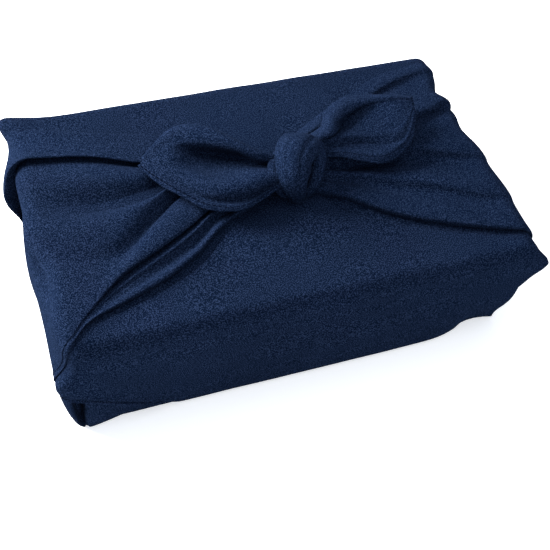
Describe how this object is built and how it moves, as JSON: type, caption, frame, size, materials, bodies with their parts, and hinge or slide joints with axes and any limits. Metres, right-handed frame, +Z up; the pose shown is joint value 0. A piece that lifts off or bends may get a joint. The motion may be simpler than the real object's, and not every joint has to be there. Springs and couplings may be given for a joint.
{
  "type": "furoshiki wrap",
  "caption": "Square crepe cloth wrapped round a flat oblong box and tied on top in a square knot with two short ears",
  "frame": {"origin": "centre of the bounding box's base, on the surface the bundle rests on", "axes": "+X along the bundle's long side, to the right of someone who faces its front; +Y towards its back; +Z up"},
  "size_m": [0.2968, 0.1794, 0.1079],
  "materials": {
    "cloth": "matte navy crepe with a fine pebbled grain"
  },
  "bodies": {
    "root": {"cloth": "cloth"}
  },
  "joints": []
}
